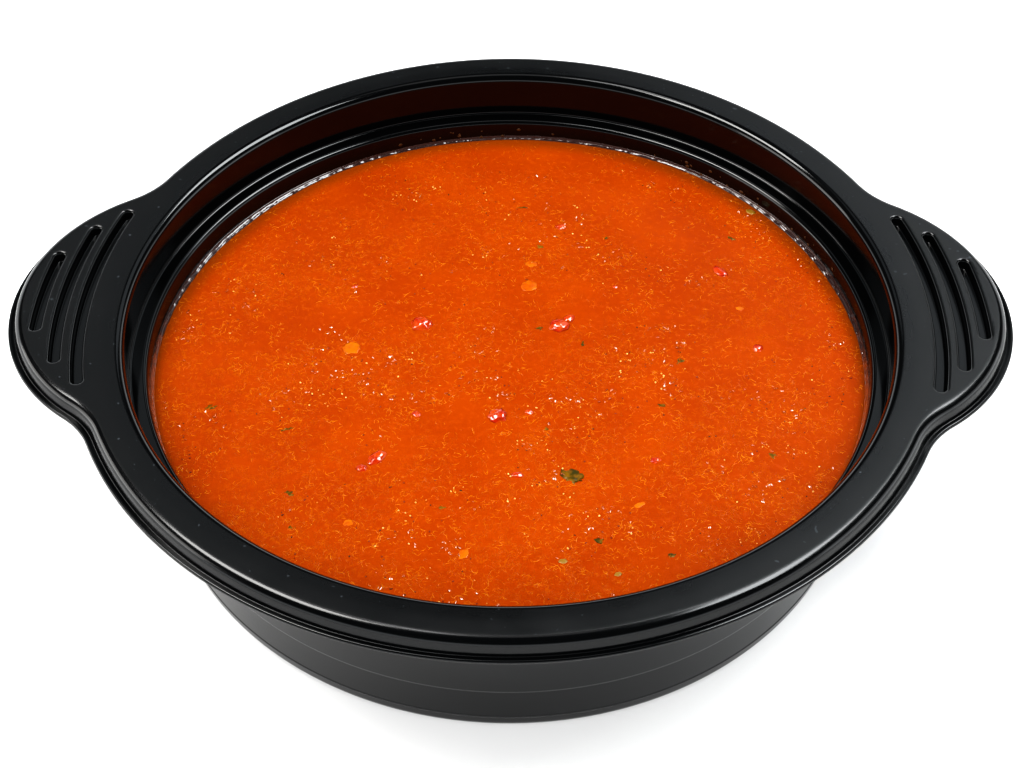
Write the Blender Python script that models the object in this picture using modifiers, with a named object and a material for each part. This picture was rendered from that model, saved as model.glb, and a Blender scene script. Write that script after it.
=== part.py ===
"""Tomato soup in a black plastic bowl with two grooved ears.

The bowl is one thin moulded sheet: a flat foot, a nearly upright wall, a small ledge below the
rim, a flat flange that widens into an ear on each side, a rounded shoulder, a short skirt and a
rolled lip. The soup is a solid that fills the bowl up to its level. Z is up, X runs through both
ears, and the origin is the middle of the foot.
"""

import math

import bmesh
import bpy
from mathutils import Vector

MM = 0.001

# Heights above the surface that the bowl stands on
RIM_HEIGHT = 46.0 * MM
LEDGE_HEIGHT = 35.2 * MM
SOUP_LEVEL = 30.1 * MM
GAP = 0.3 * MM

# Inside radii, and the thickness of the sheet
MOUTH_RADIUS = 81.3 * MM
UPPER_WALL_FOOT_RADIUS = 81.7 * MM
LOWER_WALL_TOP_RADIUS = 78.0 * MM
LOWER_WALL_FOOT_RADIUS = 77.7 * MM
SHEET = 0.9 * MM

# Fillets on the inside of the sheet
FOOT_FILLET = 3.1 * MM
LEDGE_EDGE_FILLET = 1.15 * MM
LEDGE_ROOT_FILLET = 0.6 * MM
MOUTH_FILLET = 1.9 * MM

# Centres of those fillets, as (radius, height)
FOOT = (LOWER_WALL_FOOT_RADIUS - FOOT_FILLET, SHEET + FOOT_FILLET)
LEDGE_EDGE = (LOWER_WALL_TOP_RADIUS + LEDGE_EDGE_FILLET, LEDGE_HEIGHT - LEDGE_EDGE_FILLET)
LEDGE_ROOT = (UPPER_WALL_FOOT_RADIUS - LEDGE_ROOT_FILLET, LEDGE_HEIGHT + LEDGE_ROOT_FILLET)
MOUTH = (MOUTH_RADIUS + MOUTH_FILLET, RIM_HEIGHT - MOUTH_FILLET)

# Rim: the skirt flares out a little, with an ear that swells out of it on each side
SKIRT_RADIUS = 90.5 * MM
SHOULDER_FILLET = 2.2 * MM
SKIRT_FOOT_DROP = 3.2 * MM
SKIRT_FLARE = 0.4 * MM
RIM_DEPTH = 3.9 * MM
LIP_REACH = 1.75 * MM
EAR_CENTRE = 65.4 * MM
EAR_RADIUS = 39.7 * MM
EAR_ROOT_FILLET = 20.0 * MM

# Grooves in the ears: distance of the middle from the bowl's axis, and half of the length
GROOVES = ((90.4 * MM, 28.6 * MM), (94.95 * MM, 22.5 * MM), (99.5 * MM, 13.1 * MM))
GROOVE_BEND_RADIUS = 104.0 * MM
GROOVE_DEPTH = 2.5 * MM
GROOVE_MOUTH_HALF_WIDTH = 1.7 * MM
GROOVE_FLOOR_HALF_WIDTH = 1.0 * MM
GROOVE_CHAMFER = 0.7 * MM

# Facets round a quarter of the bowl: close together along an ear, wider apart elsewhere
EAR_SPAN = math.radians(30)
EAR_FACETS = 10
PLAIN_FACETS = 10
SOUP_FACETS = 80


def clear_scene():
    for item in list(bpy.data.objects):
        bpy.data.objects.remove(item, do_unlink=True)


def collection(name):
    group = bpy.data.collections.new(name)
    bpy.context.scene.collection.children.link(group)
    return group


def plain_material(name, colour, roughness):
    material = bpy.data.materials.new(name)
    material.use_nodes = True
    shader = material.node_tree.nodes["Principled BSDF"]
    shader.inputs["Base Color"].default_value = (*colour, 1.0)
    shader.inputs["Roughness"].default_value = roughness
    shader.inputs["Metallic"].default_value = 0.0
    return material


def mesh_object(name, mesh_builder, group):
    mesh = bpy.data.meshes.new(name)
    mesh_builder.to_mesh(mesh)
    mesh_builder.free()
    item = bpy.data.objects.new(name, mesh)
    group.objects.link(item)
    return item


def arc(centre, radius, start, end, steps):
    """Points (across, up) of an arc from one angle to another, in degrees, ends included."""
    turns = [math.radians(start + (end - start) * i / steps) for i in range(steps + 1)]
    return [(centre[0] + radius * math.cos(t), centre[1] + radius * math.sin(t)) for t in turns]


def facet_angles():
    quarter = [EAR_SPAN * i / EAR_FACETS for i in range(EAR_FACETS)]
    rest = math.pi / 2 - EAR_SPAN
    quarter += [EAR_SPAN + rest * i / PLAIN_FACETS for i in range(PLAIN_FACETS)]
    half = quarter + [math.pi - a for a in reversed(quarter[1:])]
    half.insert(len(quarter), math.pi / 2)
    return half + [a + math.pi for a in half]


def rim_radius(angle, grow):
    """Distance from the axis to the skirt's outline, moved outwards by grow, at an angle."""
    across = abs(math.cos(angle))
    along = abs(math.sin(angle))
    ray = Vector((across, along))
    ear = Vector((EAR_CENTRE, 0))
    to_rim = SKIRT_RADIUS + EAR_ROOT_FILLET
    to_ear = EAR_RADIUS + EAR_ROOT_FILLET
    root_x = (to_rim**2 - to_ear**2 + EAR_CENTRE**2) / (2 * EAR_CENTRE)
    root = Vector((root_x, math.sqrt(to_rim**2 - root_x**2)))
    ear_end = ear + (root - ear).normalized() * (EAR_RADIUS + grow)
    turn = math.atan2(along, across)
    if turn >= math.atan2(root.y, root.x):
        return SKIRT_RADIUS + grow
    if turn > math.atan2(ear_end.y, ear_end.x):
        return crossing(ray, root, EAR_ROOT_FILLET - grow, -1)
    return crossing(ray, ear, EAR_RADIUS + grow, 1)


def crossing(ray, centre, radius, side):
    """Where a ray from the axis crosses a circle: side 1 is the far crossing, -1 the near one."""
    middle = ray.dot(centre)
    return middle + side * math.sqrt(radius**2 - centre.length_squared + middle**2)


def round_ring(point):
    return [(point[0], point[1]) for _ in facet_angles()]


def eared_ring(point):
    return [(rim_radius(angle, point[0]), point[1]) for angle in facet_angles()]


def inner_face():
    """Rings of the sheet's upper side, from the foot to the mouth."""
    points = arc(FOOT, FOOT_FILLET, -90, 0, 3)
    points += arc(LEDGE_EDGE, LEDGE_EDGE_FILLET, 180, 90, 2)
    points += arc(LEDGE_ROOT, LEDGE_ROOT_FILLET, -90, 0, 2)[1:]
    points += arc(MOUTH, MOUTH_FILLET, 180, 90, 2)
    return [round_ring(point) for point in points]


def rim_top():
    """Rings of the flange's edge, shoulder, skirt and rolled lip, as (grow, height)."""
    shoulder = (-SHOULDER_FILLET, RIM_HEIGHT - SHOULDER_FILLET)
    skirt_foot = RIM_HEIGHT - SKIRT_FOOT_DROP
    points = arc(shoulder, SHOULDER_FILLET, 90, 20, 3)
    points.append((SKIRT_FLARE, skirt_foot))
    points.append((SKIRT_FLARE + 0.4 * MM, skirt_foot + 0.1 * MM))
    points.append((LIP_REACH - 0.3 * MM, skirt_foot - 0.05 * MM))
    points.append((LIP_REACH, skirt_foot - 0.35 * MM))
    points.append((LIP_REACH, RIM_HEIGHT - RIM_DEPTH))
    return [eared_ring(point) for point in points]


def rim_underside():
    """Rings under the rim, from the lip back to the flange's root."""
    shoulder = (-SHOULDER_FILLET, RIM_HEIGHT - SHOULDER_FILLET)
    points = [(SKIRT_FLARE - SHEET, RIM_HEIGHT - RIM_DEPTH)]
    points += arc(shoulder, SHOULDER_FILLET - SHEET, 0, 90, 2)
    return [eared_ring(point) for point in points]


def outer_face():
    """Rings of the sheet's lower side, from the flange's root down to the foot."""
    points = arc(MOUTH, MOUTH_FILLET - SHEET, 90, 180, 1)
    points += arc(LEDGE_ROOT, LEDGE_ROOT_FILLET + SHEET, 0, -90, 2)
    points += arc(LEDGE_EDGE, LEDGE_EDGE_FILLET - SHEET, 90, 180, 2)
    points += arc(FOOT, FOOT_FILLET + SHEET, 0, -90, 3)
    return [round_ring(point) for point in points]


def loft(builder, rings):
    """Joins closed rings of points, each with as many points as the next, and caps both ends."""
    loops = [[builder.verts.new(point) for point in ring] for ring in rings]
    for lower, upper in zip(loops, loops[1:]):
        for i in range(len(lower)):
            builder.faces.new((lower[i - 1], lower[i], upper[i], upper[i - 1]))
    builder.faces.new(loops[0])
    builder.faces.new(reversed(loops[-1]))


def turned(ring):
    """Points in space of a ring given as one (radius, height) for each facet angle."""
    return [
        (radius * math.cos(angle), radius * math.sin(angle), height)
        for angle, (radius, height) in zip(facet_angles(), ring)
    ]


def groove_outline(middle, half_length, half_width):
    """Outline of a bent slot with round ends, in plan, on the ear at +X."""
    bend_centre = middle - GROOVE_BEND_RADIUS
    swing = (half_length - half_width) / GROOVE_BEND_RADIUS
    end = Vector((GROOVE_BEND_RADIUS * math.cos(swing), GROOVE_BEND_RADIUS * math.sin(swing)))
    facing = math.degrees(swing)
    outline = arc(end, half_width, facing, facing + 180, 4)
    sides = 5
    inner = GROOVE_BEND_RADIUS - half_width
    outline += arc((0, 0), inner, facing, -facing, sides)[1:-1]
    outline += arc((end.x, -end.y), half_width, 180 - facing, 360 - facing, 4)
    outer = GROOVE_BEND_RADIUS + half_width
    outline += arc((0, 0), outer, -facing, facing, sides)[1:-1]
    return [(bend_centre + x, y) for x, y in outline]


def groove_solids(name, layers, group):
    """One solid for each groove of both ears; layers are (half width, length change, height)."""
    builder = bmesh.new()
    for middle, half_length in GROOVES:
        for side in (1, -1):
            rings = []
            for half_width, longer, height in layers:
                outline = groove_outline(middle, half_length + longer, half_width)
                rings.append([(side * x, y, height) for x, y in outline])
            loft(builder, rings)
    bmesh.ops.recalc_face_normals(builder, faces=builder.faces)
    item = mesh_object(name, builder, group)
    item.hide_render = True
    item.display_type = "WIRE"
    return item


def groove_pockets(group):
    """The sheet that bulges down under each groove."""
    width = GROOVE_FLOOR_HALF_WIDTH + SHEET
    longer = width - GROOVE_MOUTH_HALF_WIDTH
    top = RIM_HEIGHT - SHEET / 2
    bottom = RIM_HEIGHT - GROOVE_DEPTH - SHEET
    return groove_solids("groove_pockets", ((width, longer, bottom), (width, longer, top)), group)


def groove_cutters(group):
    """The hollow of each groove, with a chamfered mouth."""
    narrower = GROOVE_MOUTH_HALF_WIDTH - GROOVE_FLOOR_HALF_WIDTH
    layers = (
        (GROOVE_FLOOR_HALF_WIDTH, -narrower, RIM_HEIGHT - GROOVE_DEPTH),
        (GROOVE_FLOOR_HALF_WIDTH, -narrower, RIM_HEIGHT - GROOVE_CHAMFER),
        (GROOVE_MOUTH_HALF_WIDTH, 0, RIM_HEIGHT),
        (GROOVE_MOUTH_HALF_WIDTH, 0, RIM_HEIGHT + 1 * MM),
    )
    return groove_solids("groove_cutters", layers, group)


def boolean(item, other, operation):
    modifier = item.modifiers.new(other.name, "BOOLEAN")
    modifier.operation = operation
    modifier.object = other


def make_bowl(group, tools):
    builder = bmesh.new()
    rings = inner_face() + rim_top() + rim_underside() + outer_face()
    loft(builder, [turned(ring) for ring in rings])
    bmesh.ops.recalc_face_normals(builder, faces=builder.faces)
    bowl = mesh_object("bowl", builder, group)
    boolean(bowl, groove_pockets(tools), "UNION")
    boolean(bowl, groove_cutters(tools), "DIFFERENCE")
    bowl.data.materials.append(plain_material("black_plastic", (0.006, 0.007, 0.008), 0.25))
    bowl.data.shade_smooth()
    bowl.data.set_sharp_from_angle(angle=math.radians(40))


def make_soup(group):
    """The soup: a turned profile, from the middle of its surface down its side to its bottom."""
    wall_height = LEDGE_EDGE[1] - FOOT[1]
    lean = (LOWER_WALL_TOP_RADIUS - LOWER_WALL_FOOT_RADIUS) / wall_height
    edge = LOWER_WALL_FOOT_RADIUS + lean * (SOUP_LEVEL - FOOT[1]) - GAP
    profile = [(0, SOUP_LEVEL), (edge, SOUP_LEVEL)]
    profile += arc(FOOT, FOOT_FILLET - GAP, 0, -90, 3)
    profile.append((0, SHEET + GAP))
    builder = bmesh.new()
    corners = [builder.verts.new((across, 0, up)) for across, up in profile]
    for pair in zip(corners, corners[1:]):
        builder.edges.new(pair)
    soup = mesh_object("soup", builder, group)
    turn = soup.modifiers.new("turn", "SCREW")
    turn.steps = SOUP_FACETS
    turn.render_steps = SOUP_FACETS
    turn.use_merge_vertices = True
    turn.merge_threshold = 0.01 * MM
    turn.use_smooth_shade = True
    soup.data.materials.append(plain_material("tomato_soup", (0.75, 0.07, 0.003), 0.3))


clear_scene()
parts = collection("tomato_soup_bowl")
tools = collection("cutters")
make_bowl(parts, tools)
make_soup(parts)
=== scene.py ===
"""Tomato soup in a black plastic bowl with a grooved ear on each side."""

import math
import random

import bmesh
import bpy
from mathutils import Matrix, Vector, noise


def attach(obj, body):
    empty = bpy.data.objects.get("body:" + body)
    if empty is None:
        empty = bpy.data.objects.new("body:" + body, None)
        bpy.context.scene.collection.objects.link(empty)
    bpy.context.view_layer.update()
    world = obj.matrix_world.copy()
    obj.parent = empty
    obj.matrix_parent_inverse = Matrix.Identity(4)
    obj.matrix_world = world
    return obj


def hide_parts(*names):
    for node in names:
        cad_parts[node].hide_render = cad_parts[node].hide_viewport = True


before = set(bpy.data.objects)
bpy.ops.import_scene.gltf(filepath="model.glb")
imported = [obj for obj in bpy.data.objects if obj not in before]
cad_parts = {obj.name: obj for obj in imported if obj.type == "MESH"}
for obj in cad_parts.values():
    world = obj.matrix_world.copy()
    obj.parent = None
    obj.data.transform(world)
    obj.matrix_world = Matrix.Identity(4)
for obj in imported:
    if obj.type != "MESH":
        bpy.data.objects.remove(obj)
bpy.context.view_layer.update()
MM = 0.001


# The bowl is one thin sheet of black plastic, moulded in one go. Its section runs from the foot up
# a nearly upright wall, over a small ledge and a flat flange, and down a rounded shoulder to a
# short skirt with a rolled lip. The flange swells into an ear on each side.

RIM_HEIGHT = 46.0 * MM
LEDGE_HEIGHT = 35.2 * MM
SHEET = 0.9 * MM
MOUTH_RADIUS = 81.3 * MM
UPPER_WALL_FOOT_RADIUS = 81.7 * MM
LOWER_WALL_TOP_RADIUS = 78.0 * MM
LOWER_WALL_FOOT_RADIUS = 77.7 * MM
FOOT_FILLET = 3.1 * MM
LEDGE_EDGE_FILLET = 1.15 * MM
LEDGE_ROOT_FILLET = 0.6 * MM
MOUTH_FILLET = 1.9 * MM
SKIRT_RADIUS = 90.5 * MM
SHOULDER_FILLET = 2.2 * MM
SKIRT_FOOT_DROP = 3.2 * MM
SKIRT_FLARE = 0.4 * MM
RIM_DEPTH = 3.9 * MM
FLANGE_MARGIN = 0.4 * MM
LIP_REACH = 1.75 * MM
LIP_DROP = 0.4 * MM
LIP_ROUNDING = 0.45 * MM
LIP_CREASE = 0.18 * MM
LIP_CREASE_OUT = 0.17 * MM
LIP_CREASE_UP = 0.08 * MM
LIP_CHAMFER = 0.15 * MM
INNER_LIP_CHAMFER = 0.2 * MM
EAR_CENTRE = 65.4 * MM
EAR_RADIUS = 39.7 * MM
EAR_ROOT_FILLET = 20.0 * MM
EAR_MARGIN = 1.0 * MM
# The outer wall steps in a hair halfway down, and has a fine bead just above its foot. Each point
# of the step is how far it stands out of the wall and how high it is, in millimetres.
WALL_STEP = ((0.12, 14.4), (0.12, 14.15), (-0.06, 13.9), (-0.06, 13.6), (-0.06, 5.7))
BEAD_RADIUS = 0.2 * MM
BEAD_SINK = 0.12 * MM
BEAD_HEIGHT = 5.25 * MM
FOOT_TUCK = 0.1 * MM
FOOT_TOP = 4.8 * MM
FLOOR_RINGS = (0, 30 * MM, 60 * MM)
BOWL_STEPS = 432


def arc(centre, radius, start, end, steps):
    """Points (across, up) of an arc from one angle to another, in degrees, ends included."""
    turns = [math.radians(start + (end - start) * i / steps) for i in range(steps + 1)]
    return [(centre[0] + radius * math.cos(t), centre[1] + radius * math.sin(t)) for t in turns]


def crossing(ray, centre, radius, side):
    """Where a ray from the axis crosses a circle: side 1 is the far crossing, -1 the near one."""
    middle = ray.dot(centre)
    return middle + side * math.sqrt(radius**2 - centre.length_squared + middle**2)


def rim_radius(angle, grow):
    """Distance from the axis to the skirt's outline, moved outwards by grow, at an angle."""
    across, along = abs(math.cos(angle)), abs(math.sin(angle))
    ray = Vector((across, along))
    ear = Vector((EAR_CENTRE, 0))
    to_rim = SKIRT_RADIUS + EAR_ROOT_FILLET
    to_ear = EAR_RADIUS + EAR_ROOT_FILLET
    root_x = (to_rim**2 - to_ear**2 + EAR_CENTRE**2) / (2 * EAR_CENTRE)
    root = Vector((root_x, math.sqrt(to_rim**2 - root_x**2)))
    ear_end = ear + (root - ear).normalized() * (EAR_RADIUS + grow)
    turn = math.atan2(along, across)
    if turn >= math.atan2(root.y, root.x):
        return SKIRT_RADIUS + grow
    if turn > math.atan2(ear_end.y, ear_end.x):
        return crossing(ray, root, EAR_ROOT_FILLET - grow, -1)
    return crossing(ray, ear, EAR_RADIUS + grow, 1)


def turned(section, steps):
    """A solid turned from a section of (radius, height) points, from axis to axis or closed."""
    builder = bmesh.new()
    corners = [builder.verts.new((across, 0, up)) for across, up in section]
    edges = [builder.edges.new(pair) for pair in zip(corners, corners[1:])]
    bmesh.ops.spin(
        builder, geom=corners + edges, axis=(0, 0, 1), cent=(0, 0, 0),
        angle=math.tau, steps=steps, use_merge=True,
    )
    bmesh.ops.remove_doubles(builder, verts=builder.verts, dist=0.002 * MM)
    bmesh.ops.recalc_face_normals(builder, faces=builder.faces)
    return builder


def shown(name, content):
    """An object in the scene, at the origin, that holds a mesh, a light or a camera."""
    item = bpy.data.objects.new(name, content)
    bpy.context.scene.collection.objects.link(item)
    return item


def finished(name, builder):
    """The object made of a bmesh, at the origin."""
    mesh = bpy.data.meshes.new(name)
    for face in builder.faces:
        face.smooth = True
    builder.to_mesh(mesh)
    builder.free()
    return shown(name, mesh)


foot = (LOWER_WALL_FOOT_RADIUS - FOOT_FILLET, SHEET + FOOT_FILLET)
ledge_edge = (LOWER_WALL_TOP_RADIUS + LEDGE_EDGE_FILLET, LEDGE_HEIGHT - LEDGE_EDGE_FILLET)
ledge_root = (UPPER_WALL_FOOT_RADIUS - LEDGE_ROOT_FILLET, LEDGE_HEIGHT + LEDGE_ROOT_FILLET)
mouth = (MOUTH_RADIUS + MOUTH_FILLET, RIM_HEIGHT - MOUTH_FILLET)
shoulder = (SKIRT_RADIUS - SHOULDER_FILLET, RIM_HEIGHT - SHOULDER_FILLET)
skirt_foot = (SKIRT_RADIUS + SKIRT_FLARE, RIM_HEIGHT - SKIRT_FOOT_DROP)
lip_edge = SKIRT_RADIUS + LIP_REACH
lip_foot = RIM_HEIGHT - RIM_DEPTH
lip_crease = (skirt_foot[0] + LIP_CREASE_OUT, skirt_foot[1] + LIP_CREASE_UP)
lip_bend = (lip_edge - LIP_ROUNDING, skirt_foot[1] - LIP_DROP)
inner_skirt = skirt_foot[0] - SHEET
wall = LOWER_WALL_FOOT_RADIUS + SHEET

section = [(ring, SHEET) for ring in FLOOR_RINGS]
section += arc(foot, FOOT_FILLET, -90, 0, 8)
section += arc(ledge_edge, LEDGE_EDGE_FILLET, 180, 90, 12)
section += arc(ledge_root, LEDGE_ROOT_FILLET, -90, 0, 8)
section += arc(mouth, MOUTH_FILLET, 180, 90, 10)
section.append((mouth[0] + FLANGE_MARGIN, RIM_HEIGHT))
section.append((shoulder[0] - FLANGE_MARGIN, RIM_HEIGHT))
section += arc(shoulder, SHOULDER_FILLET, 90, 20, 12)
section += arc(lip_crease, LIP_CREASE, 200, 280, 4)
section += arc(lip_bend, LIP_ROUNDING, 105, 0, 7)
section.append((lip_edge, lip_foot + LIP_CHAMFER))
section.append((lip_edge - LIP_CHAMFER, lip_foot))
section.append((inner_skirt + INNER_LIP_CHAMFER, lip_foot))
section.append((inner_skirt, lip_foot + INNER_LIP_CHAMFER))
section += arc(shoulder, SHOULDER_FILLET - SHEET, 10, 90, 6)
section += arc(mouth, MOUTH_FILLET - SHEET, 90, 180, 4)
section += arc(ledge_root, LEDGE_ROOT_FILLET + SHEET, 0, -90, 8)
section += arc(ledge_edge, LEDGE_EDGE_FILLET - SHEET, 90, 180, 6)
section += [(wall + out * MM, up * MM) for out, up in WALL_STEP]
section += arc((wall - BEAD_SINK, BEAD_HEIGHT), BEAD_RADIUS, 60, -60, 4)
section.append((wall - FOOT_TUCK, FOOT_TOP))
section += arc(foot, FOOT_FILLET + SHEET - FOOT_TUCK, 0, -90, 10)[1:]
section.append((0, 0))
section = [(across, max(up, 0)) for across, up in section]

sheet = turned(section, BOWL_STEPS)
for vert in sheet.verts:
    across = math.hypot(vert.co.x, vert.co.y)
    grow = across - SKIRT_RADIUS
    if grow > -SHOULDER_FILLET - EAR_MARGIN:
        angle = math.atan2(vert.co.y, vert.co.x)
        scale = rim_radius(angle, grow) / across
        vert.co.x *= scale
        vert.co.y *= scale
bowl = finished("moulded_bowl", sheet)


# Three bent grooves are pressed into each ear, shorter towards its end, so that it's stiff and
# grips well. The sheet bulges down under each of them, and their mouths are rounded.

# Each groove's distance from the bowl's axis, and half of its length.
GROOVES = ((90.4 * MM, 28.6 * MM), (94.95 * MM, 22.5 * MM), (99.5 * MM, 13.1 * MM))
GROOVE_BEND_RADIUS = 104.0 * MM
GROOVE_BEND_STEPS = 36
GROOVE_END_STEPS = 14
GROOVE_DEPTH = 2.5 * MM
GROOVE_MOUTH_HALF_WIDTH = 1.8 * MM
GROOVE_FLOOR_HALF_WIDTH = 1.05 * MM
GROOVE_FLOOR_FILLET = 0.3 * MM
BULGE_FILLET = 0.8 * MM
CUT_ABOVE = 1.0 * MM


def slot_solid(builder, middle, half_length, side, half_section):
    """A bent slot with round ends: half of its section is spun along the bend and round each end."""
    bend_centre = Vector((side * (middle - GROOVE_BEND_RADIUS), 0, 0))
    swing = (half_length - GROOVE_MOUTH_HALF_WIDTH) / GROOVE_BEND_RADIUS

    def spin_half(hand, turn, centre, angle, steps):
        """Puts half of the section at a turn along the bend, and spins it round a centre."""
        corners = [
            builder.verts.new((side * (middle + hand * across), 0, up)) for across, up in half_section
        ]
        edges = [builder.edges.new(pair) for pair in zip(corners, corners[1:])]
        bmesh.ops.rotate(
            builder, verts=corners, cent=bend_centre, matrix=Matrix.Rotation(turn, 3, "Z")
        )
        bmesh.ops.spin(
            builder, geom=corners + edges, axis=(0, 0, 1), cent=centre, angle=angle, steps=steps
        )

    for hand in (1, -1):
        spin_half(hand, -swing, bend_centre, 2 * swing, GROOVE_BEND_STEPS)
    for turn, half_turn in ((-swing, -math.pi), (swing, math.pi)):
        end = Matrix.Rotation(turn, 3, "Z") @ Vector((side * GROOVE_BEND_RADIUS, 0, 0))
        spin_half(1, turn, end + bend_centre, half_turn, GROOVE_END_STEPS)


def slots(name, half_section):
    """Slot solids for every groove of both ears."""
    builder = bmesh.new()
    for middle, half_length in GROOVES:
        for side in (1, -1):
            slot_solid(builder, middle, half_length, side, half_section)
    bmesh.ops.remove_doubles(builder, verts=builder.verts, dist=0.004 * MM)
    bmesh.ops.recalc_face_normals(builder, faces=builder.faces)
    return finished(name, builder)


groove_floor = RIM_HEIGHT - GROOVE_DEPTH
floor_corner = (GROOVE_FLOOR_HALF_WIDTH - GROOVE_FLOOR_FILLET, groove_floor + GROOVE_FLOOR_FILLET)
roll = GROOVE_MOUTH_HALF_WIDTH - GROOVE_FLOOR_HALF_WIDTH
hollow = [(0, groove_floor)]
hollow += arc(floor_corner, GROOVE_FLOOR_FILLET, -90, 0, 4)
hollow += arc((GROOVE_MOUTH_HALF_WIDTH, RIM_HEIGHT - roll), roll, 180, 93, 7)
hollow.append((GROOVE_MOUTH_HALF_WIDTH, RIM_HEIGHT + 0.02 * MM))
hollow.append((GROOVE_MOUTH_HALF_WIDTH, RIM_HEIGHT + CUT_ABOVE))
hollow.append((0, RIM_HEIGHT + CUT_ABOVE))
below = groove_floor - SHEET
middle_of_sheet = RIM_HEIGHT - SHEET / 2
bulge = [(0, below)]
bulge += arc((GROOVE_FLOOR_HALF_WIDTH, below + BULGE_FILLET), BULGE_FILLET, -90, 0, 4)
bulge.append((GROOVE_FLOOR_HALF_WIDTH + BULGE_FILLET, middle_of_sheet))
bulge.append((0, middle_of_sheet))
tools = []
for operation, name, half_section in (("UNION", "bulges", bulge), ("DIFFERENCE", "hollows", hollow)):
    tool = slots(name, half_section)
    pressed = bowl.modifiers.new(name, "BOOLEAN")
    pressed.operation = operation
    pressed.object = tool
    tools.append(tool)
bpy.context.view_layer.update()
pressed_mesh = bpy.data.meshes.new_from_object(
    bowl.evaluated_get(bpy.context.evaluated_depsgraph_get())
)
bowl.modifiers.clear()
bowl.data = pressed_mesh
for tool in tools:
    bpy.data.objects.remove(tool)
bowl.data.shade_smooth()


# The rim has warped as it cooled: it stands a little high at the front and back and low at the
# ears, and the flange slopes gently down towards the mouth.

MOUTH_DROP = 0.3 * MM
FLANGE_RISE = 0.055
BOW = 0.75 * MM
WARPS_FROM = 81.5 * MM
WARPS_FULLY_AFTER = 2.0 * MM
for vert in bowl.data.vertices:
    spot = vert.co
    across = math.hypot(spot.x, spot.y)
    up_the_wall = (spot.z - LEDGE_HEIGHT) / (RIM_HEIGHT - LEDGE_HEIGHT)
    out_on_the_flange = (across - WARPS_FROM) / WARPS_FULLY_AFTER
    share = min(1.0, max(0.0, up_the_wall, out_on_the_flange))
    bow = -BOW * math.cos(2 * math.atan2(spot.y, spot.x))
    spot.z += share * (bow - MOUTH_DROP + FLANGE_RISE * max(0.0, across - MOUTH_RADIUS))
flat = bowl.modifiers.new("flat_faces_stay_flat", "WEIGHTED_NORMAL")
flat.weight = 100
flat.keep_sharp = False


# The plastic is black polypropylene: glossy on the walls and fillets, and satin on the flange, which
# has a fine orange peel, cloudy patches of a duller sheen, and specks of dust.


class Amount:
    """A number that changes over a surface. Sums and products of it add Math nodes."""

    def __init__(self, finish, socket):
        self.finish = finish
        self.socket = socket

    def reckon(self, operation, *others):
        return self.finish.node("ShaderNodeMath", {"operation": operation}, dict(enumerate(others)))

    def __add__(self, other):
        return self.reckon("ADD", self, other)

    __radd__ = __add__

    def __sub__(self, other):
        return self.reckon("SUBTRACT", self, other)

    def __rsub__(self, other):
        return self.reckon("SUBTRACT", other, self)

    def __mul__(self, other):
        return self.reckon("MULTIPLY", self, other)

    __rmul__ = __mul__

    def __truediv__(self, other):
        return self.reckon("DIVIDE", self, other)

    def __abs__(self):
        return self.reckon("ABSOLUTE", self)


class Finish:
    """A surface finish: one material, and the ways of adding nodes to it."""

    def __init__(self, name, roughness=0.5, ior=1.5):
        self.material = bpy.data.materials.new(name)
        self.material.use_nodes = True
        self.tree = self.material.node_tree
        self.surface = self.tree.nodes["Principled BSDF"]
        self.place = self.node("ShaderNodeTexCoord", {}, {}, "Object")
        self.give(Roughness=roughness, IOR=ior)

    def feed(self, socket, value):
        """Links an amount to a socket, or sets the socket to a number, a colour or a vector."""
        if isinstance(value, Amount):
            self.tree.links.new(value.socket, socket)
        else:
            socket.default_value = (*value, 1) if socket.type == "RGBA" else value

    def node(self, kind, settings, sockets, output=0):
        """Adds a node: its settings are set first, and then its sockets are fed."""
        item = self.tree.nodes.new(kind)
        for key, value in settings.items():
            setattr(item, key, value)
        for key, value in sockets.items():
            self.feed(item.inputs[key], value)
        return Amount(self, item.outputs[output])

    def grain(self, scale, detail=2.0, roughness=0.5, distortion=0.0, place=None):
        """Noise from 0 to 1, with scale in cells per metre."""
        return self.node("ShaderNodeTexNoise", {"noise_dimensions": "3D"}, {
            "Vector": place or self.place, "Scale": scale, "Detail": detail,
            "Roughness": roughness, "Distortion": distortion,
        })

    def step(self, value, low, high, to_low=0.0, to_high=1.0):
        """A smooth change from to_low to to_high as value goes from low to high."""
        return self.node("ShaderNodeMapRange", {"interpolation_type": "SMOOTHSTEP"}, {
            "Value": value, "From Min": low, "From Max": high, "To Min": to_low, "To Max": to_high,
        })

    def blend(self, share, first, second):
        """A colour between two colours."""
        return self.node("ShaderNodeMix", {"data_type": "RGBA"}, {0: share, 6: first, 7: second}, 2)

    def parts(self):
        """The place's x, y and z, as three amounts."""
        split = self.node("ShaderNodeSeparateXYZ", {}, {0: self.place})
        outputs = split.socket.node.outputs
        return [Amount(self, outputs[i]) for i in range(3)]

    def across(self):
        """The distance from the bowl's axis."""
        x, y, _ = self.parts()
        flat = self.node("ShaderNodeCombineXYZ", {}, {0: x, 1: y})
        return self.node("ShaderNodeVectorMath", {"operation": "LENGTH"}, {0: flat}, 1)

    def give(self, **sockets):
        """Feeds the surface's sockets, with spaces in their names as underscores."""
        for key, value in sockets.items():
            self.feed(self.surface.inputs[key.replace("_", " ")], value)

    def relief(self, height, distance, strength=1.0):
        """Bumps of a height from 0 to 1, distance high."""
        self.give(Normal=self.node("ShaderNodeBump", {}, {
            "Height": height, "Distance": distance, "Strength": strength,
        }))

    def cover(self, item):
        """Makes this the only finish of a piece."""
        item.data.materials.clear()
        item.data.materials.append(self.material)


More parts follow.
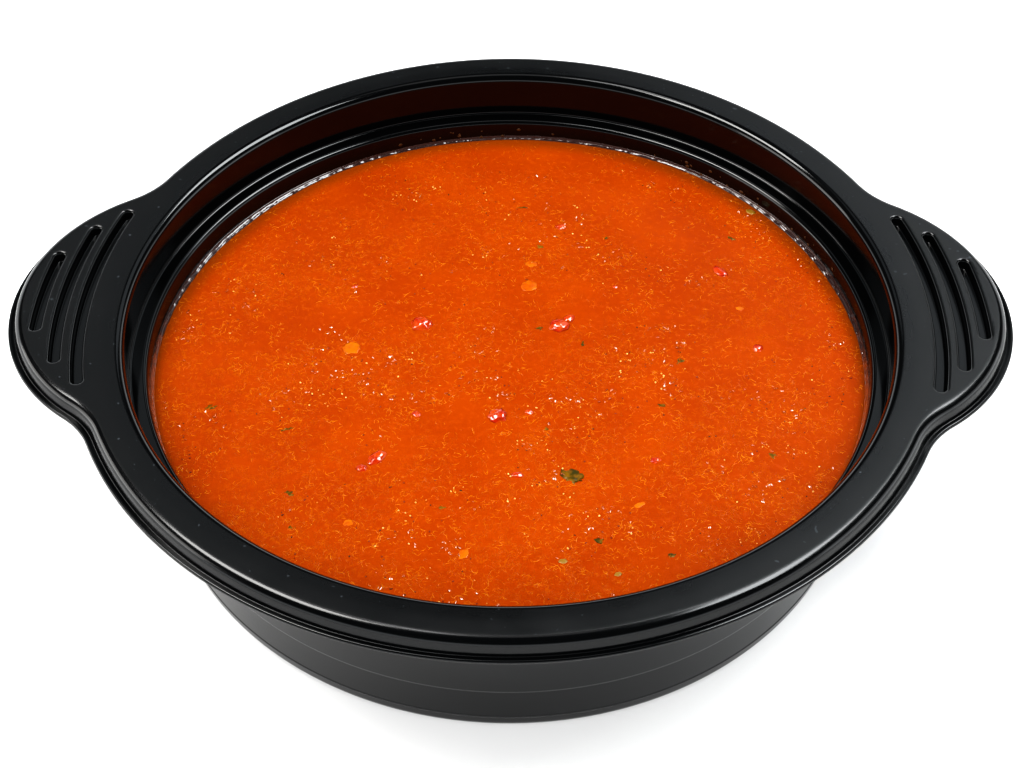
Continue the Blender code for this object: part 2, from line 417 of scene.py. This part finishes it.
BLACK = (0.0014, 0.0016, 0.0018)
DUST_GREY = (0.02, 0.023, 0.026)
GLOSSY = 0.085
SATIN = 0.13
RIM_SATIN = 0.06
CLOUDINESS = 0.04
FLANGE_CLOUDINESS = 0.09
PEEL_HEIGHT = 0.012 * MM
FLANGE_STARTS = (82.6 * MM, 83.2 * MM)
RIM_STARTS = (84.0 * MM, 87.0 * MM)

plastic = Finish("black_polypropylene", ior=1.43)
x, y, z = plastic.parts()
across = plastic.across()
bow = BOW * (x * x - y * y) / (across * across)
slope = FLANGE_RISE * (across - MOUTH_RADIUS)
flat_z = z + bow - slope + MOUTH_DROP
near_top = plastic.step(flat_z, RIM_HEIGHT - 0.09 * MM, RIM_HEIGHT - 0.02 * MM)
on_flange = near_top * plastic.step(across, *FLANGE_STARTS)
on_rim = plastic.step(across, *RIM_STARTS)
peel = plastic.grain(2200)
cloud = plastic.grain(90, 3.0, 0.55)
dust = plastic.step(plastic.grain(900, 0.0), 0.80, 0.83) * on_flange
roughness = GLOSSY + CLOUDINESS * cloud + on_flange * (SATIN + FLANGE_CLOUDINESS * cloud)
plastic.give(
    Base_Color=plastic.blend(dust, BLACK, DUST_GREY), Roughness=roughness + on_rim * RIM_SATIN
)
plastic.relief(peel * on_flange + 0.06 * plastic.grain(500, 1.0), PEEL_HEIGHT, 0.3)
plastic.cover(bowl)
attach(bowl, "root")
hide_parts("bowl")


# The soup is thick, blended and wet. It fills the bowl up to its level, lies a little uneven and is
# lowest at the back left. Next to the wall it is darkened to brown as painted shade, over a wider
# band at the back.

SOUP_LEVEL = 30.1 * MM
SOUP_EDGE = 77.7 * MM
SOUP_EDGE_DROP = 0.15 * MM
CALM_BAND = 6 * MM
LOW_SIDE = Vector((-0.8, 0.6))
LOW_SIDE_DROP = 0.55
WALL_GAP = 0.3 * MM
RING_GAP = 0.6 * MM
OUTER_RINGS_FROM = 76.0 * MM
OUTER_RING_GAP = 0.25 * MM
SOUP_STEPS = 360


def soup_top(across, along):
    """Height of the soup's surface at a place."""
    spot = Vector((across, along, 0.1))
    calm = min(1.0, max(0.0, (SOUP_EDGE - spot.xy.length) / CALM_BAND))
    swell = noise.noise(spot * 60) * 0.10 + noise.noise(spot * 210) * 0.06
    towards_low_side = max(0.0, spot.xy.dot(LOW_SIDE) / SOUP_EDGE)
    dip = LOW_SIDE_DROP * towards_low_side**4
    return SOUP_LEVEL + (swell * calm - dip + noise.noise(spot * 800) * 0.025) * MM


foot = (LOWER_WALL_FOOT_RADIUS - FOOT_FILLET, SHEET + FOOT_FILLET)
section = [(RING_GAP * i, SOUP_LEVEL) for i in range(127)]
section += [(OUTER_RINGS_FROM + OUTER_RING_GAP * i, SOUP_LEVEL) for i in range(7)]
section.append((SOUP_EDGE, SOUP_LEVEL - SOUP_EDGE_DROP))
section += arc(foot, FOOT_FILLET - WALL_GAP, 0, -90, 5)
section.append((0, SHEET + WALL_GAP))
body = turned(section, SOUP_STEPS)
for vert in body.verts:
    if vert.co.z > SOUP_LEVEL - 2 * SOUP_EDGE_DROP:
        vert.co.z += soup_top(vert.co.x, vert.co.y) - SOUP_LEVEL
soup = finished("tomato_soup", body)

RED_ORANGE = (0.232, 0.0362, 0.0002)
DEEP_RED_ORANGE = (0.199, 0.0275, 0.0002)
PULP_ORANGE = (0.275, 0.066, 0.0006)
WALL_SHADE_BROWN = (0.148, 0.030, 0.0005)
STRAND_SHARE = 0.55
STRAND_RELIEF = 0.06 * MM
# Thin light strands run through the soup in three layers, each with its grain in cells per metre,
# the strands' width and the layer's shift.
STRAND_LAYERS = ((620, 0.045, 0.0), (900, 0.055, 0.31), (1300, 0.06, 0.77))

broth = Finish("tomato_soup", ior=1.38)
y = broth.parts()[1]
mottle = broth.grain(600, 3.0, 0.6)
patches = broth.step(broth.grain(60) * 0.6 + mottle * 0.4, 0.32, 0.68)
colour = broth.blend(patches, DEEP_RED_ORANGE, RED_ORANGE)
strands = None
for scale, width, shift in STRAND_LAYERS:
    moved = broth.node(
        "ShaderNodeVectorMath", {"operation": "ADD"}, {0: broth.place, 1: (shift, shift, 0)}
    )
    line = broth.step(abs(broth.grain(scale, 0.6, 0.5, 0.9, moved) - 0.5), width, 0.0)
    cut = broth.step(broth.grain(scale * 0.5, 1.0, place=moved), 0.47, 0.62)
    strand = line * cut
    strands = strand if strands is None else strands.reckon("MAXIMUM", strands, strand)
pulpy = broth.step(broth.grain(38), 0.34, 0.6) * broth.step(y, 75 * MM, 20 * MM, 0.3, 1.0)
colour = broth.blend(strands * pulpy * STRAND_SHARE, colour, PULP_ORANGE)
# Painted shade: the soup's colour turns brown next to the wall, over a wider band at the back.
at_back = broth.step(y, -30 * MM, 40 * MM)
wall_shade_from = 76.4 * MM - at_back * (4.6 * MM)
wall_shade_to = 77.9 * MM - at_back * (0.8 * MM)
wall_shade = broth.step(broth.across() + (mottle - 0.5) * (2 * MM), wall_shade_from, wall_shade_to)
broth.give(
    Base_Color=broth.blend(wall_shade, colour, WALL_SHADE_BROWN),
    Roughness=broth.step(mottle, 0.3, 0.7, 0.15, 0.3), Specular_IOR_Level=0.07,
)
broth.relief(strands * pulpy * 0.7 + mottle * 0.3 + 0.35 * broth.grain(1700), STRAND_RELIEF, 0.8)
broth.cover(soup)
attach(soup, "root")
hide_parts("soup")


# A skin of dried soup clings to the wall all round: a thin lumpy bead where it meets the soup, and
# above that a film on the wall of uneven height.

EDGE_STEPS = 1440
WALL_AT_LEVEL = 77.95 * MM
FILM_FOOT = 0.36 * MM
BEAD_INSET = 0.15 * MM
# Directions in degrees, counted from the right towards the back.
BACK_LEFT = 147
BACK = 75
BACK_RIGHT = 22
FILM_BROWN = (0.024, 0.010, 0.008)
FILM_ORANGE = (0.18, 0.034, 0.002)
# The skin's section: how far each point stands off the wall and above the soup, in millimetres.
SKIN = (
    (-0.03, -0.5), (-0.03, 0.95), (0.04, 1.0), (0.08, 0.65), (0.12, 0.36), (0.17, 0.33), (0.23, 0.295),
    (0.30, 0.25), (0.37, 0.20), (0.43, 0.155), (0.48, 0.09), (0.51, 0.0), (0.53, -0.12), (0.54, -0.4),
    (-0.03, -0.5),
)


def swell_at(angle, centre, spread):
    """A smooth swell from 0 up to 1 around an angle, with angle in radians and the rest in degrees."""
    off = (math.degrees(angle) - centre + 180) % 360 - 180
    return math.exp(-((off / spread) ** 2))


skin = turned([(WALL_AT_LEVEL - inset * MM, up * MM) for inset, up in SKIN], EDGE_STEPS)
for vert in skin.verts:
    spot = vert.co
    across = math.hypot(spot.x, spot.y)
    angle = math.atan2(spot.y, spot.x)
    on_wall = Vector((spot.x, spot.y, 0)) * (WALL_AT_LEVEL / across)
    lump = noise.noise(on_wall * 420) + noise.noise(on_wall * 1000) * 0.5
    if across < WALL_AT_LEVEL:
        inset = WALL_AT_LEVEL - across
        if inset > BEAD_INSET:
            reach = 0.08 + 0.55 * swell_at(angle, BACK_LEFT, 22) + 0.5 * swell_at(angle, BACK_RIGHT, 20)
            inset += max(0.0, reach + 0.12 * lump) * MM
        shrink = 1 - inset / WALL_AT_LEVEL
        spot.x, spot.y = on_wall.x * shrink, on_wall.y * shrink
        if spot.z > FILM_FOOT:
            tall = (0.4 + 0.6 * swell_at(angle, BACK, 30)) * (1 + 0.8 * noise.noise(on_wall * 90))
            spot.z = FILM_FOOT + (spot.z - FILM_FOOT) * tall
        if inset > BEAD_INSET and spot.z > 0:
            spot.z *= max(0.1, 1 + 0.8 * lump)
    spot.z += soup_top(spot.x, spot.y)
dried_edge = finished("dried_edge", skin)
crust = Finish("dried_edge", ior=1.6)
blotch = crust.grain(260, 3.0, 0.6)
in_front = crust.step(crust.parts()[1] + (blotch - 0.5) * (40 * MM), 10 * MM, -20 * MM)
crust.give(
    Base_Color=crust.blend(in_front, FILM_BROWN, FILM_ORANGE),
    Roughness=crust.step(blotch, 0.4, 0.65, 0.05, 0.14),
)
crust.relief(crust.grain(900), 0.03 * MM, 0.3)
crust.cover(dried_edge)
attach(dried_edge, "root")


# Pulp fibres lie in the soup's surface: short fine hairs, most of them curled, some in rings.
# They gather in loose patches, and there are fewer of them at the back.

random.seed(11)
FIBRES = 10500
RING_SHARE = 0.08
RING_BEND = 2.7
FIBRE_HEIGHT = 0.07 * MM
FIBRE_SINK = 0.02 * MM


def sown(name, shape, placings):
    """One object of many copies of a small shape; a placing moves each point of the shape."""
    points, faces = [], []
    shape.verts.index_update()
    for placing in placings:
        first = len(points)
        points += [placing(vert.co) for vert in shape.verts]
        faces += [[first + vert.index for vert in face.verts] for face in shape.faces]
    shape.free()
    mesh = bpy.data.meshes.new(name)
    mesh.from_pydata(points, [], faces)
    mesh.shade_smooth()
    item = shown(name, mesh)
    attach(item, "root")
    return item


def ball(rings, segments):
    """A unit ball, to be squeezed and bent by a placing."""
    shape = bmesh.new()
    bmesh.ops.create_uvsphere(shape, u_segments=segments, v_segments=rings, radius=1)
    bmesh.ops.rotate(shape, verts=shape.verts, matrix=Matrix.Rotation(math.pi / 2, 3, "Y"))
    return shape


def any_turn():
    """A random direction, as an angle."""
    return random.uniform(0, math.tau)


def somewhere(reach, patchy=0.0, back=1.0):
    """A random place on the soup; patchy gathers places, back thins them out at the back."""
    while True:
        distance, angle = reach * math.sqrt(random.random()), any_turn()
        spot = Vector((distance * math.cos(angle), distance * math.sin(angle), 0))
        gathered = noise.noise(spot * 45 + Vector((3, 1, 2))) + 0.6 * noise.noise(spot * 160)
        thinned = 1 - (1 - back) * min(1.0, max(0.0, (spot.y + 10 * MM) / (70 * MM)))
        if random.random() < thinned and gathered > patchy * random.uniform(-0.1, 0.5):
            return spot


def laid(spot, length, width, height, sink, turn, bend=0.0, lean=(0.0, 0.0)):
    """Places a ball as a lying strand, grain or flake: bend is half the angle that it curls
    through, and lean is the slope that it lies at, along x and along y."""

    def placing(point):
        if bend:
            radius = length / bend
            swing = point.x * bend
            across = (radius + point.y * width) * math.sin(swing)
            along = radius - (radius + point.y * width) * math.cos(swing)
        else:
            across, along = point.x * length, point.y * width
        place = Vector((
            spot.x + across * math.cos(turn) - along * math.sin(turn),
            spot.y + across * math.sin(turn) + along * math.cos(turn), 0,
        ))
        tilted = (place.x - spot.x) * lean[0] + (place.y - spot.y) * lean[1]
        place.z = soup_top(place.x, place.y) + point.z * height + tilted - sink
        return place

    return placing


fibres = []
for _ in range(FIBRES):
    half_length = random.uniform(0.35, 1.2) * MM
    half_width = random.uniform(0.08, 0.12) * MM
    bend = random.choice((-1, 1)) * random.uniform(0.3, 2.0)
    if random.random() < RING_SHARE:
        bend = RING_BEND
    fibres.append(laid(
        somewhere(77 * MM, patchy=-1.4, back=0.5), half_length, half_width, FIBRE_HEIGHT, FIBRE_SINK,
        any_turn(), bend,
    ))
pulp_fibres = sown("pulp_fibres", ball(4, 3), fibres)
pulp = Finish("pulp_fibres", 0.25, 1.38)
pulp.give(Specular_IOR_Level=0.3, Base_Color=pulp.blend(
    pulp.step(pulp.grain(260, 1.0), 0.38, 0.62), (0.285, 0.062, 0.0008), (0.36, 0.118, 0.0040)
))
pulp.cover(pulp_fibres)


# Fine grains stand out of the soup by a tenth of a millimetre or two, singly and in small
# clusters; many are pale yellow-white, a painted highlight that stands in for glints on the wet soup.
# Wet bits of skin lie among them at all kinds of slopes and glint, and dark specks are strewn all
# over.

GRAIN_CLUSTERS = 210
SKIN_CLUSTERS = 190
SPECKS = 420
SOWN_WITHIN = 75.5 * MM

grains = []
for _ in range(GRAIN_CLUSTERS):
    spot = somewhere(75 * MM, patchy=0.8, back=0.5)
    for _ in range(random.choice((1, 1, 1, 2, 3))):
        size = random.uniform(0.10, 0.23) * MM
        near = spot + Vector((random.gauss(0, 0.9), random.gauss(0, 0.6), 0)) * MM
        if near.length < SOWN_WITHIN:
            stretch = random.uniform(1, 1.5)
            grains.append(laid(near, size * stretch, size, size, 0, any_turn()))
grains_with_painted_glints = sown("grains_with_painted_glints", ball(5, 7), grains)
grain_finish = Finish("grains_with_painted_glints", 0.15)
# The pale yellow-white end of this blend is a painted highlight, standing in for glints.
grain_finish.give(Base_Color=grain_finish.blend(
    grain_finish.step(grain_finish.grain(300, 1.0), 0.44, 0.6), (0.33, 0.09, 0.003), (0.52, 0.30, 0.08)
))
grain_finish.cover(grains_with_painted_glints)

wet = []
for _ in range(SKIN_CLUSTERS):
    spot = somewhere(76 * MM, patchy=0.8, back=0.45)
    for _ in range(random.choice((1, 2, 3, 5))):
        near = spot + Vector((random.gauss(0, 1.3), random.gauss(0, 0.9), 0)) * MM
        half_length = random.uniform(0.2, 0.55) * MM
        toward, steep = any_turn(), random.uniform(0.15, 0.75)
        if near.length < SOWN_WITHIN:
            wet.append(laid(
                near, half_length, half_length * random.uniform(0.35, 0.8), 0.1 * MM, 0,
                any_turn(), lean=(steep * math.cos(toward), steep * math.sin(toward)),
            ))
wet_skins = sown("wet_skins", ball(6, 8), wet)
skin_finish = Finish("wet_skins", 0.12)
skin_finish.give(
    Base_Color=(0.26, 0.044, 0.0006), Coat_Weight=1.0, Coat_IOR=1.8, Coat_Roughness=0.06
)
skin_finish.cover(wet_skins)

specks = [
    laid(somewhere(76 * MM), random.uniform(0.13, 0.28) * MM, random.uniform(0.11, 0.19) * MM,
         0.09 * MM, -0.02 * MM, any_turn())
    for _ in range(SPECKS)
]
dark_specks = sown("dark_specks", ball(4, 5), specks)
speck_finish = Finish("dark_specks", 0.35)
speck_finish.give(Specular_IOR_Level=0.2, Base_Color=speck_finish.blend(
    speck_finish.step(speck_finish.grain(200, 1.0), 0.5, 0.62), (0.10, 0.008, 0.001), (0.012, 0.003, 0.001)
))
speck_finish.cover(dark_specks)


# Larger bits: wet domes of tomato that stand out of the soup, soft orange pieces nearly level with
# its surface, scraps of olive-green herb, and a few pale seeds.


def lumpy(length, width, height, spot, turn, sink, ragged, seed):
    """Places a ball as an uneven lump of a length and width in millimetres."""
    base = laid(spot, length / 2 * MM, width / 2 * MM, height * MM, sink * MM, turn)

    def placing(point):
        bumpy = noise.noise(point * 1.7 + Vector((seed, seed, 0)))
        bumpy += 0.45 * noise.noise(point * 4.2 + Vector((seed, 0, seed)))
        return base(point * (1 + ragged * bumpy))

    return placing


def lumps(rows, height, sink, ragged):
    """Placings for rows of x, y, length, width and turn, in millimetres and degrees. The height is a
    share of the length or the width, whichever is less, and sink is in millimetres."""
    return [
        lumpy(length, width, height * min(length, width), Vector((x, y, 0)) * MM,
              math.radians(turn), sink, ragged, 3.7 * i)
        for i, (x, y, length, width, turn) in enumerate(rows)
    ]


TOMATO = (
    (-2.1, -20.9, 4.2, 3.8, 10), (4.4, -19.6, 1.9, 1.6, 0), (-26.9, -33.1, 4.6, 2.9, 50),
    (-29.7, -36.0, 2.4, 2.0, 0), (-20.0, 7.4, 4.8, 4.4, 20), (11.0, 7.4, 4.6, 4.2, 0),
    (13.2, 9.6, 3.0, 2.4, 40), (11.7, 42.1, 2.6, 2.0, 0), (2.1, -37.4, 2.4, 1.8, 0),
    (54.8, 0.6, 2.8, 2.2, 60), (48.5, 26.1, 4.6, 2.8, -50), (-19.4, -20.6, 2.2, 1.6, -30),
    (30.5, -33.0, 2.4, 1.7, 15), (-36.0, 20.0, 1.8, 1.3, 35), (24.0, 20.5, 1.6, 1.2, 0),
)
tomato_bits = sown("tomato_bits", ball(22, 30), lumps(TOMATO, height=0.27, sink=0.14, ragged=0.24))
flesh = Finish("tomato_bits", 0.1, 1.45)
flesh.give(Coat_Weight=0.7, Coat_Roughness=0.04, Base_Color=flesh.blend(
    flesh.step(flesh.grain(500), 0.35, 0.6), (0.24, 0.014, 0.001), (0.31, 0.040, 0.002)
))
flesh.relief(flesh.grain(600, 1.0), 0.12 * MM, 0.5)
flesh.cover(tomato_bits)

ORANGE = (
    (-34.8, -0.6, 4.0, 3.6, 0), (4.1, 20.6, 4.0, 3.6, 30), (4.6, 28.4, 2.8, 2.2, 0),
    (26.7, -45.0, 2.8, 1.3, 30), (-31.1, -50.4, 2.2, 1.7, 0), (41.0, 23.0, 3.0, 0.9, 8),
    (-8.0, -58.0, 2.6, 2.0, 60), (52.0, 13.5, 1.9, 1.6, 0),
)
orange_bits = sown("orange_bits", ball(16, 24), lumps(ORANGE, height=0.045, sink=0.03, ragged=0.22))
soft = Finish("orange_bits", 0.22, 1.38)
soft.give(Specular_IOR_Level=0.3, Base_Color=soft.blend(
    soft.step(soft.grain(420), 0.35, 0.62), (0.27, 0.052, 0.0008), (0.32, 0.088, 0.0012)
))
soft.cover(orange_bits)

HERBS = (
    (13.5, -37.8, 4.6, 3.1, -35), (2.0, 49.3, 2.8, 1.0, 5), (6.4, 34.6, 1.9, 1.3, 0),
    (52.2, 38.5, 2.2, 1.3, -50), (37.3, -3.8, 2.0, 1.4, 30), (32.4, -17.2, 1.9, 1.3, 0),
    (16.2, 1.4, 1.7, 1.2, 70), (6.5, 6.4, 1.6, 1.2, 0), (-46.0, -25.2, 2.4, 1.1, 20),
    (-43.5, -42.8, 2.8, 1.3, -20), (18.3, -54.3, 2.1, 1.3, 10), (-42.0, -51.6, 1.6, 1.0, 40),
    (-12.7, -46.3, 1.5, 1.1, 0), (-63.1, -19.1, 2.4, 1.2, 20), (54.6, -31.5, 2.2, 1.4, 0),
    (32.1, -57.9, 2.0, 1.2, 30), (22.4, 38.1, 1.8, 1.1, 0), (8.0, -24.6, 1.3, 0.9, 0),
)
herbs = sown("herb_scraps", ball(9, 12), lumps(HERBS, height=0.06, sink=0.04, ragged=0.9))
herb = Finish("herb_scraps", 0.3, 1.38)
herb.give(Specular_IOR_Level=0.2, Base_Color=herb.blend(
    herb.step(herb.grain(700), 0.3, 0.65), (0.030, 0.024, 0.002), (0.125, 0.060, 0.002)
))
herb.relief(herb.grain(1800), 0.1 * MM, 0.7)
herb.cover(herbs)

SEEDS = ((57.9, 48.4, 2.6, 1.7, -40), (11.2, -59.4, 1.8, 1.3, 0), (21.7, -62.4, 1.5, 1.1, 20))
seeds = sown("pale_seeds", ball(10, 14), lumps(SEEDS, height=0.1, sink=0.03, ragged=0.3))
seed_finish = Finish("pale_seeds", 0.3)
seed_finish.give(Base_Color=(0.17, 0.088, 0.006))
seed_finish.cover(seeds)


# Splashes of soup that dried on the wall above the level: small flat brown crumbs, which cling to
# the plastic at the right and the back.

SPLASHES = 46
SPLASH_WALL = WALL_AT_LEVEL + 0.02 * MM
SPLASH_LOWEST = 0.4 * MM
SPLASH_THICKNESS = 0.35
SPLASH_STRETCH = 1.3
CLEAR_OF_LEDGE = 2 * MM


def splash(turn, height, size):
    """Places a ball as a flat crumb on the wall."""

    def placing(point):
        out = SPLASH_WALL - (0.5 + 0.5 * point.z) * size * SPLASH_THICKNESS
        swing = turn + point.x * size * SPLASH_STRETCH / SPLASH_WALL
        return Vector((out * math.cos(swing), out * math.sin(swing), height + point.y * size))

    return placing


crumbs = []
for _ in range(SPLASHES):
    turn = math.radians(random.uniform(15, 112))
    height = SOUP_LEVEL + abs(random.gauss(1.0, 1.6)) * MM + SPLASH_LOWEST
    if height <= LEDGE_HEIGHT - CLEAR_OF_LEDGE:
        crumbs.append(splash(turn, height, random.uniform(0.12, 0.42) * MM))
residue = sown("wall_residue", ball(6, 8), crumbs)
residue_finish = Finish("wall_residue", 0.4)
residue_finish.give(Base_Color=(0.05, 0.02, 0.006))
residue_finish.cover(residue)


# The studio: a white table, two bright soft boxes overhead with two dimmer ones between them, dim
# panels at the back and low down on each side, and a fill from the front that doesn't show in
# reflections. The room is dark overhead and lightest towards its floor.

TABLE_HALF_WIDTH = 1.5
ground = bmesh.new()
bmesh.ops.create_grid(ground, x_segments=1, y_segments=1, size=TABLE_HALF_WIDTH)
table = finished("table", ground)
paper = Finish("white_table", 0.9, 1.3)
paper.give(Base_Color=(0.62, 0.62, 0.62))
paper.cover(table)


def soft_box(name, direction, turn, distance, width, length, glow, tone=(1, 1, 1)):
    """A rectangular light that faces the bowl, its length turned in degrees from front to back."""
    light = bpy.data.lights.new(name, "AREA")
    light.shape = "RECTANGLE"
    light.size = width
    light.size_y = length
    light.color = tone
    light.energy = glow * math.pi * width * length
    item = shown(name, light)
    towards = Vector(direction).normalized()
    side = Vector((0, 1, 0)).cross(towards).normalized()
    along = towards.cross(side)
    facing = Matrix((side, along, towards)).transposed().to_4x4()
    item.matrix_world = (
        Matrix.Translation(towards * distance) @ facing @ Matrix.Rotation(math.radians(turn), 4, "Z")
    )
    return item


# Each light's direction from the bowl, turn, distance, width, length, glow and tone.
soft_box("left_soft_box", (-0.55, 0.05, 1), 35, 1.2, 0.40, 0.62, 15.0, (1.0, 0.99, 0.97))
soft_box("right_soft_box", (0.52, 0.22, 1), 12, 1.2, 0.36, 0.85, 13.5, (0.96, 0.99, 1.0))
soft_box("back_right_panel", (0.44, 1.0, 1), 0, 1.7, 0.7, 0.8, 0.95, (0.88, 0.95, 1.0))
soft_box("back_left_panel", (-0.36, 0.92, 1), 0, 1.7, 0.5, 0.55, 0.6, (0.88, 0.95, 1.0))
soft_box("left_low_panel", (-1, 0.02, 0.33), 0, 1.6, 0.6, 1.2, 3.6, (1.0, 0.98, 0.95))
soft_box("right_low_panel", (1, 0.05, 0.30), 0, 1.6, 0.5, 1.2, 1.6, (0.95, 0.98, 1.0))
soft_box("middle_panel", (0, 0.1, 1), 0, 1.3, 0.5, 0.5, 1.0)
soft_box("narrow_middle_panel", (-0.17, 0.10, 1), 10, 1.25, 0.14, 0.35, 7.0)
fill = soft_box("front_fill", (0, -0.7, 0.7), 0, 1.5, 1.4, 1.0, 6.2)
fill.visible_glossy = False

room = bpy.data.worlds.new("grey_room")
room.use_nodes = True
tree = room.node_tree
towards = tree.nodes.new("ShaderNodeTexCoord")
split = tree.nodes.new("ShaderNodeSeparateXYZ")
low_wall = tree.nodes.new("ShaderNodeMapRange")
low_wall.interpolation_type = "SMOOTHSTEP"
for socket, value in (("From Min", 0.34), ("From Max", 0.16), ("To Min", 0.05), ("To Max", 1.9)):
    low_wall.inputs[socket].default_value = value
tree.links.new(towards.outputs["Generated"], split.inputs[0])
tree.links.new(split.outputs["Z"], low_wall.inputs["Value"])
background = tree.nodes["Background"]
background.inputs["Color"].default_value = (0.95, 0.98, 1.0, 1)
tree.links.new(low_wall.outputs[0], background.inputs["Strength"])
bpy.context.scene.world = room

CAMERA_PLACE = (4.39 * MM, -239.31 * MM, 259.11 * MM)
SIDEWAYS = 0.0162
DOWNWARD = 0.7876
ROLL = -0.0023
camera = shown("camera", bpy.data.cameras.new("camera"))
camera.data.sensor_width = 36.0
camera.data.lens = 52.73
camera.data.clip_start = 0.01
camera.data.clip_end = 50
camera.matrix_world = (
    Matrix.Translation(CAMERA_PLACE)
    @ Matrix.Rotation(SIDEWAYS, 4, "Z")
    @ Matrix.Rotation(math.pi / 2 - DOWNWARD, 4, "X")
    @ Matrix.Rotation(ROLL, 4, "Z")
)
bpy.context.scene.camera = camera
bpy.context.scene.view_settings.view_transform = "Standard"
bpy.context.scene.view_settings.look = "High Contrast"
